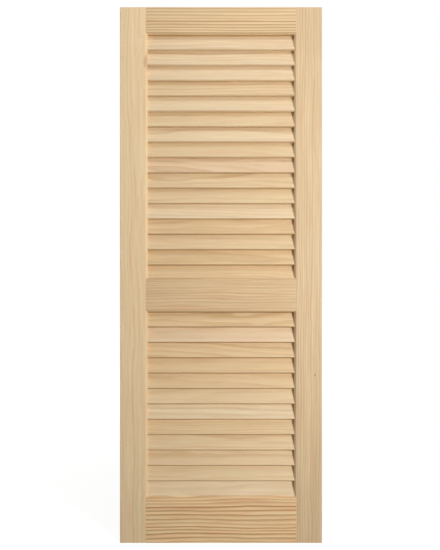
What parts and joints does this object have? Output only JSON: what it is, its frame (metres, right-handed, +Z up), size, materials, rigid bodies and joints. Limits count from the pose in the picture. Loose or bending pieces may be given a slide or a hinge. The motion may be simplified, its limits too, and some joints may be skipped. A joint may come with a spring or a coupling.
{
  "type": "louvred closet door leaf",
  "caption": "Unfinished pine louvred door leaf for a folding closet door, with fixed slanted slats in two bays between stiles and rails.",
  "frame": {"origin": "middle of the leaf's bottom edge, halfway through its thickness", "axes": "+X across the leaf to the right as seen from the front, +Y from the front face to the back face, +Z up"},
  "size_m": [0.46, 0.028, 1.219],
  "materials": {
    "stile_pine": "planed and sanded pine with the grain upright, unfinished",
    "rail_pine": "planed and sanded pine with the grain across, unfinished",
    "slat_pine": "moulded pine slat stock with the grain across, unfinished",
    "dowel_beech": "fluted beech"
  },
  "bodies": {
    "root": {"stile_left": "stile_pine", "stile_right": "stile_pine", "top_rail": "rail_pine", "mid_rail": "rail_pine", "bottom_rail": "rail_pine", "slat_upper_01": "slat_pine", "slat_upper_02": "slat_pine", "slat_upper_03": "slat_pine", "slat_upper_04": "slat_pine", "slat_upper_05": "slat_pine", "slat_upper_06": "slat_pine", "slat_upper_07": "slat_pine", "slat_upper_08": "slat_pine", "slat_upper_09": "slat_pine", "slat_upper_10": "slat_pine", "slat_upper_11": "slat_pine", "slat_upper_12": "slat_pine", "slat_upper_13": "slat_pine", "slat_upper_14": "slat_pine", "slat_upper_15": "slat_pine", "slat_upper_16": "slat_pine", "slat_lower_01": "slat_pine", "slat_lower_02": "slat_pine", "slat_lower_03": "slat_pine", "slat_lower_04": "slat_pine", "slat_lower_05": "slat_pine", "slat_lower_06": "slat_pine", "slat_lower_07": "slat_pine", "slat_lower_08": "slat_pine", "slat_lower_09": "slat_pine", "slat_lower_10": "slat_pine", "slat_lower_11": "slat_pine", "slat_lower_12": "slat_pine", "dowels_top_rail": "dowel_beech", "dowels_mid_rail": "dowel_beech", "dowels_bottom_rail": "dowel_beech"}
  },
  "joints": []
}
